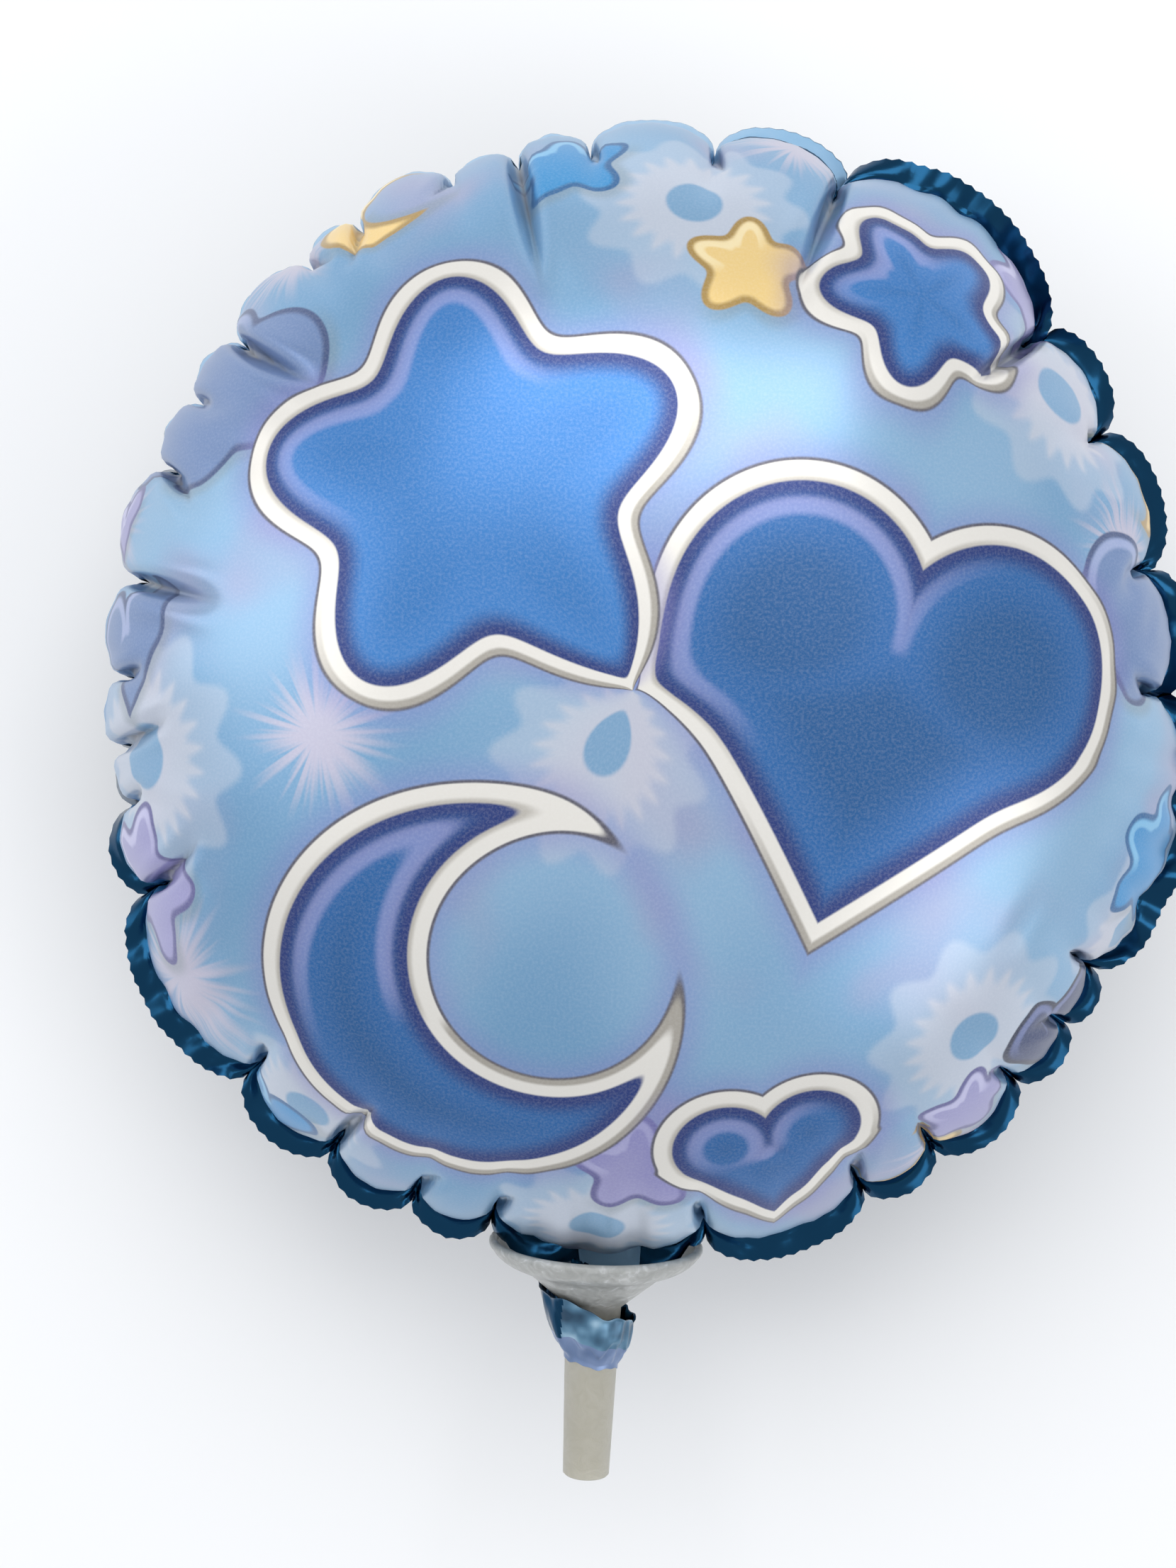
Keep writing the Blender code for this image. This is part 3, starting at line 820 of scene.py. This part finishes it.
    def bold(self, shape, centre):
        """A large blue shape: violet glow, raised cream border, dark inner edge and lilac highlight."""
        shade = self.side(centre)
        self.paint(self.math("MULTIPLY", self.ramp(shape, 8.5, 1.5), 0.55), "8583BE")
        self.paint(self.ramp(shape, 3.6, 3.2), "5B5A66")
        self.paint(self.ramp(shape, 3.1, 2.8), "E6E2DA")
        outer = self.math("MULTIPLY", self.band(shape, 2.6, 0.8), self.ramp(shade, 0.45, 0.8))
        self.paint(self.math("MULTIPLY", outer, 0.75), "8E877B")
        inner = self.math("MULTIPLY", self.ramp(shape, 1.2, 0.4), self.ramp(shade, 0.55, 0.2))
        self.paint(self.math("MULTIPLY", inner, 0.6), "9B9488")
        self.paint(self.ramp(shape, 0.4, 0.0), "273A78")
        # Painted shade: large shapes in the lower half get a darker blue, as the lower part of the balloon
        # falls darker.
        fill, middle = ("3A7ABC", "2E70B0") if centre[1] > 10 else ("2B66A4", "1F5488")
        self.paint(self.ramp(shape, -0.4, -4.0), fill)
        self.paint(self.math("MULTIPLY", self.ramp(shape, -4, -12), 0.7), middle)
        lit = self.math("MULTIPLY", self.band(shape, -3.2, 1.8), self.ramp(shade, 0.45, 0.05))
        self.paint(self.math("MULTIPLY", lit, 0.5), "A7A9D8")

    def motif(self, shape, centre, code, dark, light):
        """A small shape with a dark lower edge, a light upper one and a soft shadow."""
        shade = self.side(centre)
        shadow = self.math("MULTIPLY", self.ramp(shape, 2.6, 0.4), self.ramp(shade, 0.5, 0.8))
        self.paint(self.math("MULTIPLY", shadow, 0.45), "7E8C92")
        self.paint(self.ramp(shape, 0.2, -0.2), dark)
        self.paint(self.ramp(shape, -0.6, -1.6), code)
        lit = self.math("MULTIPLY", self.band(shape, -1.9, 1.2), self.ramp(shade, 0.4, 0.1))
        self.paint(self.math("MULTIPLY", lit, 0.7), light)

    def rosette(self, centre, radius, petals, turn=0.0):
        """Pale petals round a blue eye."""
        outer = self.wavy_disc(centre, radius, petals, 0.10, turn)
        self.paint(self.math("MULTIPLY", self.ramp(outer, 0.8, -0.8), 0.42), "C2CAD6")
        inner = self.wavy_disc(centre, radius * 0.68, petals * 2, 0.10, turn + 11)
        self.paint(self.math("MULTIPLY", self.ramp(inner, 0.6, -1.2), 0.5), "D2CFD4")
        eye = self.ramp(self.disc(centre, radius * 0.27), 0.4, -0.4)
        self.paint(self.math("MULTIPLY", eye, 0.8), "5F97BE")

    def burst(self, centre, radius):
        """A soft pinkish burst of thin rays."""
        place = self.at(centre)
        size = self.vector("LENGTH", place)
        direction = self.vector("NORMALIZE", place)
        rays = self.noise(7.0, 1.0, vector=direction)
        reach = self.math("MULTIPLY_ADD", self.ramp(rays, 0.25, 0.75), radius * 0.9, radius * 0.45)
        share = self.math("DIVIDE", size, reach)
        self.paint(self.math("MULTIPLY", self.ramp(share, 1.0, 0.25), 0.7), "CDBFCB")


def print_material():
    """The printed side: a pale blue ground with soft rosettes and bursts, large blue shapes with
    cream borders, and small clouds, moons, stars and hearts. Over the print it carries painted shade
    along the left rim, on the lower large shapes and in the creases, and a painted highlight on the weld."""
    material = shader("printed_foil", (0.25, 0.45, 0.68), 0.3, 0.5)
    draw = Drawing(material)
    patches = draw.ramp(draw.noise(0.022, 1.0), 0.35, 0.65)
    draw.colour = draw.mix(patches, linear("709CC0"), linear("8BB0CE"))
    draw.paint(draw.math("MULTIPLY", draw.ramp(draw.noise(0.031, 2.0), 0.48, 0.70), 0.7), "9F9ABA")
    from_middle = draw.vector("LENGTH", draw.place)
    x, y = draw.split(draw.place)
    # Painted shade: a deeper, saturated blue towards the rim on the left side only, where the flank falls
    # darker.
    to_left = draw.ramp(draw.math("DIVIDE", x, from_middle), -0.6, -0.95)
    draw.paint(draw.math("MULTIPLY", draw.ramp(from_middle, 84, 108), to_left), "1C78B4")
    for centre, radius, petals, turn in ROSETTES:
        draw.rosette(centre, radius, petals, turn)
    for centre, radius in BURSTS:
        draw.burst(centre, radius)
    for kind, centre, size, turn, (code, dark, light) in MOTIFS:
        draw.motif(draw.shape(kind, centre, size, turn), centre, code, dark, light)
    for kind, centre, size, turn in BOLD:
        draw.bold(draw.shape(kind, centre, size, turn), centre)

    grain = draw.noise(2.4, 2.0, roughness=0.7)
    draw.colour = draw.mix(draw.math("MULTIPLY", draw.ramp(grain, 0.35, 0.75), 0.07), draw.colour, (1, 1, 1))
    angle = draw.math("MULTIPLY", draw.math("ARCTAN2", y, x), 180 / math.pi)
    covered = draw.ramp(draw.math("ABSOLUTE", draw.math("SUBTRACT", angle, 112)), 46, 40)
    from_neck = draw.math("ABSOLUTE", draw.math("SUBTRACT", angle, NECK_PRINT_ANGLE - 360))
    covered = draw.math("MAXIMUM", covered, draw.ramp(from_neck, NECK_PRINT_HALF + 0.3, NECK_PRINT_HALF))
    reach = draw.math("MULTIPLY_ADD", covered, 4.4, 110.0)
    bare = draw.ramp(draw.math("SUBTRACT", from_middle, reach), -0.15, 0.15)
    # A paler seam from the weld out, and a thin bright line on the weld itself: a painted highlight, where
    # the crimp catches the light.
    draw.paint(draw.math("MULTIPLY", draw.ramp(from_middle, 109.5, 111), 0.7), "8FBBDB")
    draw.paint(draw.math("MULTIPLY", draw.band(from_middle, 110.3, 0.7), 0.7), "B9E0F8")
    draw.colour = draw.mix(bare, draw.colour, BACK_COLOUR)
    # Painted shade: dark navy along the core of each crease, where the fold shades itself.
    fold = draw.nodes.new("ShaderNodeAttribute")
    fold.attribute_name = "fold"
    draw.paint(draw.math("MULTIPLY", fold.outputs["Fac"], 0.9), "16283F")
    surface = draw.nodes["Principled BSDF"]
    draw.put(surface.inputs["Base Color"], draw.colour)
    draw.put(surface.inputs["Metallic"], draw.math("MULTIPLY_ADD", bare, 0.58, 0.42))
    rough = draw.math("MULTIPLY_ADD", grain, 0.07, 0.30)
    draw.put(surface.inputs["Roughness"], draw.math("MULTIPLY_ADD", bare, -0.1, rough))
    return material


def back_material():
    """The plain metallic back."""
    return shader("back_foil", BACK_COLOUR, 0.16, 1.0)


def noise_texture(nodes, links, scale, detail, distortion=0.0):
    """Noise over the object's own coordinates."""
    place = nodes.new("ShaderNodeTexCoord")
    noise = nodes.new("ShaderNodeTexNoise")
    noise.inputs["Scale"].default_value = scale
    noise.inputs["Detail"].default_value = detail
    noise.inputs["Distortion"].default_value = distortion
    links.new(place.outputs["Object"], noise.inputs["Vector"])
    return noise.outputs["Fac"]


def coloured(nodes, links, value, stops):
    """A value turned into a colour by (position, colour code) stops."""
    ramp = nodes.new("ShaderNodeValToRGB")
    while len(ramp.color_ramp.elements) < len(stops):
        ramp.color_ramp.elements.new(0.5)
    for element, (position, code) in zip(ramp.color_ramp.elements, stops):
        element.position = position
        element.color = (*linear(code), 1)
    links.new(value, ramp.inputs[0])
    return ramp.outputs[0]


def cup_material():
    """Frosted, half clear plastic, with faint scratches and a warm grey stem."""
    material = shader("cup_plastic", (0.60, 0.60, 0.56), 0.34, 0.0, Transmission_Weight=0.45, IOR=1.46)
    nodes, links = material.node_tree.nodes, material.node_tree.links
    scratches = noise_texture(nodes, links, 420, 3, 1.5)
    frost = coloured(nodes, links, scratches, FROST_COLOURS)
    warm = coloured(nodes, links, scratches, STEM_COLOURS)
    place = nodes.new("ShaderNodeTexCoord")
    split = nodes.new("ShaderNodeSeparateXYZ")
    links.new(place.outputs["Object"], split.inputs[0])
    down = nodes.new("ShaderNodeMapRange")
    down.inputs["From Min"].default_value = CUP_MOUTH_Y - STEM_TOP_DEPTH - STEM_COLOUR_BLEND
    down.inputs["From Max"].default_value = CUP_MOUTH_Y - STEM_TOP_DEPTH + STEM_COLOUR_BLEND
    links.new(split.outputs[1], down.inputs["Value"])
    mix = nodes.new("ShaderNodeMix")
    mix.data_type = "RGBA"
    links.new(down.outputs[0], mix.inputs[0])
    links.new(warm, mix.inputs[6])
    links.new(frost, mix.inputs[7])
    links.new(mix.outputs[2], nodes["Principled BSDF"].inputs["Base Color"])
    bump = nodes.new("ShaderNodeBump")
    bump.inputs["Strength"].default_value = 0.35
    bump.inputs["Distance"].default_value = 0.0003
    links.new(scratches, bump.inputs["Height"])
    links.new(bump.outputs[0], nodes["Principled BSDF"].inputs["Normal"])
    return material


def tail_material(name, stops):
    """Crumpled film in noise patches of a few blues, darker and lighter: painted shade and painted
    highlights on its facets.
    """
    material = shader(name, (0.1, 0.3, 0.5), 0.32, 0.4)
    nodes, links = material.node_tree.nodes, material.node_tree.links
    patches = noise_texture(nodes, links, 260, 1.5)
    links.new(coloured(nodes, links, patches, stops), nodes["Principled BSDF"].inputs["Base Color"])
    return material


def cup_space(points):
    """Points from cup space, whose Z runs down the stem from the mouth, to the part's frame."""
    points = np.asarray(points, float)
    return np.stack([CUP_X + points[..., 0], CUP_MOUTH_Y - points[..., 2], RIM_Z + points[..., 1]], -1)


def bell_points(steps):
    """The bell's outer profile from the stem to the lip, as radius and depth."""
    start = np.array((SHOULDER_RADIUS, SHOULDER_DEPTH))
    middle = np.array((CUP_RADIUS - 0.0006, SHOULDER_DEPTH - 0.0013))
    end = np.array((CUP_RADIUS, LIP_RADIUS))
    share = np.linspace(0, 1, steps + 1)[:, None]
    curve = start * (1 - share) ** 2 + middle * 2 * share * (1 - share) + end * share ** 2
    cone = np.linspace((STEM_TOP_RADIUS, STEM_TOP_DEPTH), start, 6)[:-1]
    return np.concatenate([cone, curve])


def make_cup():
    """The cup: bell with its rolled lip, floor and hollow stem, turned in one profile."""
    outer = bell_points(10)
    along = np.gradient(outer, axis=0)
    inward = np.stack([along[:, 1], -along[:, 0]], -1)
    inner = outer + inward / np.linalg.norm(inward, axis=1, keepdims=True) * CUP_WALL
    angles = np.radians(np.linspace(40, -220, 10))
    lip = (outer[-1] + inner[-1]) / 2 + LIP_RADIUS * np.stack([np.cos(angles), np.sin(angles)], -1)
    inner = inner[inner[:, 1] < FLOOR_DEPTH]
    bore_top = FLOOR_DEPTH + FLOOR_THICKNESS
    stem = [
        (AXIS_RADIUS, bore_top),
        (STEM_BORE_RADIUS, bore_top),
        (STEM_BORE_RADIUS, CUP_LENGTH),
        (STEM_END_RADIUS - STEM_END_BEVEL, CUP_LENGTH),
        (STEM_END_RADIUS, CUP_LENGTH - STEM_END_BEVEL),
    ]
    floor = [(inner[0][0], FLOOR_DEPTH), (AXIS_RADIUS, FLOOR_DEPTH)]
    profile = np.concatenate([stem, outer[:-1], lip, inner[:-1][::-1], floor])
    turn = np.linspace(0, 2 * math.pi, CUP_SIDES, endpoint=False)
    ring = np.stack([np.cos(turn), np.sin(turn)], -1)
    points = np.zeros((len(profile), CUP_SIDES, 3))
    points[..., :2] = profile[:, None, :1] * ring
    points[..., 2] = profile[:, None, 1]
    faces = grid_faces(len(profile), CUP_SIDES)
    cup = mesh_object("cup_shell", cup_space(points).reshape(-1, 3), faces, cup_material())
    cup.data.set_sharp_from_angle(angle=math.radians(50))
    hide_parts("cup")
    return cup


def cut_slot(cup):
    """Cut the tail's slot through the back of the bell."""
    bpy.ops.mesh.primitive_cube_add(size=1)
    cutter = bpy.context.object
    turn = Matrix.Rotation(math.radians(-SLOT_ANGLE), 4, "Z")
    axes = Matrix(((1, 0, 0, CUP_X), (0, 0, -1, CUP_MOUTH_Y), (0, 1, 0, RIM_Z), (0, 0, 0, 1)))
    box = Matrix.Translation((0, -SHOULDER_RADIUS, SLOT_DEPTH)) @ Matrix.Diagonal((*SLOT_SIZE, 1))
    cutter.matrix_world = axes @ turn @ box
    cut = cup.modifiers.new("slot", "BOOLEAN")
    cut.object = cutter
    bpy.context.view_layer.objects.active = cup
    bpy.ops.object.modifier_apply(modifier=cut.name)
    bpy.data.objects.remove(cutter)


def crumple(radius, turn, share, rng, folds, size):
    """Add slanting folds to radii given by their turn round the stem and share of the way down."""
    for _ in range(folds):
        centre, width = rng.uniform(0, 2 * math.pi), rng.uniform(0.12, 0.40)
        slant, height = rng.uniform(-0.9, 0.9), rng.uniform(-size, size)
        away = (turn - centre - slant * share + math.pi) % (2 * math.pi) - math.pi
        radius = radius + height * np.maximum(0, 1 - np.abs(away) / width) * np.minimum(1, 4 * (1 - share))
    return radius


def make_wrap():
    """The crumpled band of tail round the top of the stem: its upper turn lies over its lower one."""
    rng = np.random.default_rng(3)
    turn = np.linspace(0, 2 * math.pi, WRAP_SIDES, endpoint=False)
    share = np.linspace(0, 1, WRAP_ROWS)[:, None]
    left = 0.5 - 0.5 * np.cos(turn)

    def across(sizes):
        return sizes[1] + (sizes[0] - sizes[1]) * left

    jag = 0.00035 * np.sin(5 * turn + 1) + 0.0002 * np.sin(11 * turn)
    top = across(WRAP_TOP) + jag
    end = across(WRAP_END) + jag / 2
    depth = top + (end - top) * share
    radius = WRAP_END_RADIUS + (across(WRAP_TOP_RADIUS) - WRAP_END_RADIUS) * (1 - share ** 1.7)
    radius = crumple(radius, turn, share, rng, WRAP_FOLDS, WRAP_FOLD_HEIGHT)
    under = 1 / (1 + np.exp(-(depth - WRAP_LAYER_DEPTH - 3 * jag) / 0.00012))
    radius = radius - WRAP_LAYER_STEP * under + WRAP_LAYER_STEP * np.exp(-share / 0.03)
    radius = np.maximum(radius, stem_radius(depth) + WRAP_CLEARANCE)
    points = np.stack([radius * np.cos(turn), radius * np.sin(turn), depth], -1)
    inner = points[::-1].copy()
    inner[..., :2] *= (1 - WRAP_FILM / radius[::-1])[..., None]
    return np.concatenate([points, inner, points[:1]])


def stem_radius(depth):
    """The outer radius of the cone or the stem at a depth."""
    cone = SHOULDER_RADIUS - CONE_SLOPE * (depth - SHOULDER_DEPTH)
    share = (depth - STEM_TOP_DEPTH) / (CUP_LENGTH - STEM_TOP_DEPTH)
    stem = STEM_TOP_RADIUS + (STEM_END_RADIUS - STEM_TOP_RADIUS) * share
    return np.where(depth < STEM_TOP_DEPTH, cone, stem)


def tail_strip():
    """The tail from inside the cup, out of the slot and down to the stem, as a flat tube: a grid of
    stations along it and points round it."""
    rng = np.random.default_rng(5)
    stations = np.array(TAIL_STATIONS)
    at = np.linspace(0, len(stations) - 1, TAIL_ROWS)
    marks = np.arange(len(stations))
    out, depth, width, thick = (np.interp(at, marks, column) for column in stations.T)
    along = np.stack([np.gradient(out), np.gradient(depth)], -1)
    along /= np.linalg.norm(along, axis=1, keepdims=True)
    turn = np.linspace(0, 2 * math.pi, TAIL_SIDES, endpoint=False)
    side, face = np.cos(turn), np.sin(turn)
    pleat = np.zeros((TAIL_ROWS, TAIL_SIDES))
    for _ in range(9):
        phase, waves = rng.uniform(0, 2 * math.pi), rng.uniform(3, 11)
        pleat += rng.uniform(0.2, 1.0) * np.sin(waves * side + phase + 0.12 * at[:, None])
    lift = thick[:, None] * (face / 2 + 0.13 * pleat)
    x = side * width[:, None] / 2
    across = out[:, None] + lift * along[:, 1:2]
    down = depth[:, None] - lift * along[:, 0:1]
    slant = math.radians(-SLOT_ANGLE) * np.clip((depth - 0.0020) / 0.002, 0, 1)[:, None]
    y = -across
    turned_x = x * np.cos(slant) - y * np.sin(slant)
    turned_y = x * np.sin(slant) + y * np.cos(slant)
    return np.stack([turned_x, turned_y, down], -1)


def make_tail(back_foil):
    """The tail and its wrap round the stem, as one piece. The film shows its plain side at the left of
    the wrap and in the strip behind the cup, and its printed side elsewhere."""
    wrap = make_wrap()
    strip = tail_strip()
    faces = grid_faces(len(wrap), wrap.shape[1], turned=True)
    first = wrap.shape[0] * wrap.shape[1]
    faces += grid_faces(len(strip), strip.shape[1], first=first)
    points = np.concatenate([wrap.reshape(-1, 3), strip.reshape(-1, 3)])
    upper = tail_material("tail_upper", UPPER_COLOURS)
    tail = mesh_object("foil_tail", cup_space(points), faces, upper)
    tail.data.materials.append(tail_material("tail_lower", LOWER_COLOURS))
    tail.data.materials.append(back_foil)
    count = wrap.shape[1]
    outer = WRAP_ROWS * count
    for number, face in enumerate(tail.data.polygons):
        if number >= outer:
            face.material_index = 2
            continue
        row, column = divmod(number, count)
        turn = 360 * column / count
        share = row / WRAP_ROWS
        plain = 122 < turn - 20 * share < 235 and share < 0.6
        face.material_index = 2 if plain else int(share > 0.58)
    tail.data.set_sharp_from_angle(angle=math.radians(35))
    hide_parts("foil_balloon")
    return tail


def make_camera():
    """The photograph's view: from over the balloon, its axis left of and above the picture's middle."""
    pixels_per_metre = 1 / METRES_PER_PIXEL
    roll = math.radians(CAMERA_ROLL)
    offset = Vector((PICTURE_OFFSET[0] / pixels_per_metre, PICTURE_OFFSET[1] / pixels_per_metre, 0))
    target = Matrix.Rotation(roll, 3, "Z") @ offset + Vector((0, 0, RIM_Z))
    place = Vector((0, 0, RIM_Z + CAMERA_HEIGHT))
    up_hint = Matrix.Rotation(roll, 3, "Z") @ Vector((0, 1, 0))
    back = (place - target).normalized()
    right = up_hint.cross(back).normalized()
    up = back.cross(right)
    data = bpy.data.cameras.new("photo_camera")
    data.sensor_fit = "HORIZONTAL"
    data.sensor_width = 36
    data.lens = data.sensor_width * CAMERA_HEIGHT * pixels_per_metre / PICTURE_WIDTH
    data.clip_start = 0.01
    camera = bpy.data.objects.new("photo_camera", data)
    bpy.context.collection.objects.link(camera)
    camera.matrix_world = Matrix.Translation(place) @ Matrix((right, up, back)).transposed().to_4x4()
    bpy.context.scene.camera = camera


def area_light(name, place, size, power):
    """A soft rectangular white light aimed at the balloon."""
    data = bpy.data.lights.new(name, "AREA")
    data.shape = "RECTANGLE"
    data.size, data.size_y = size
    data.energy = power
    light = bpy.data.objects.new(name, data)
    bpy.context.collection.objects.link(light)
    light.location = place
    light.rotation_euler = (Vector(place) - Vector(LIGHTS_AIM)).to_track_quat("Z", "Y").to_euler()
    return light


def make_room():
    """Plain pale floor, soft studio light."""
    bpy.ops.mesh.primitive_plane_add(size=FLOOR_SIZE, location=(0, 0, FLOOR_Z))
    floor = bpy.context.object
    floor.name = "floor"
    floor.data.materials.append(shader("floor_paint", (0.9, 0.9, 0.9), 0.7))
    world = bpy.data.worlds.new("studio")
    bpy.context.scene.world = world
    world.use_nodes = True
    background = world.node_tree.nodes["Background"]
    background.inputs["Color"].default_value = (0.92, 0.95, 1, 1)
    background.inputs["Strength"].default_value = WORLD_STRENGTH
    for name, (place, size, power) in LIGHTS.items():
        area_light(name, place, size, power)


def main():
    """Dress the frame."""
    bpy.context.scene.view_settings.view_transform = "Standard"
    front, back, seam = blow_up()
    back_foil = back_material()
    make_sheet("foil_front", front, seam, 1, print_material())
    make_sheet("foil_back", back, seam, -1, back_foil)
    make_tail(back_foil)
    cut_slot(make_cup())
    make_camera()
    make_room()


main()
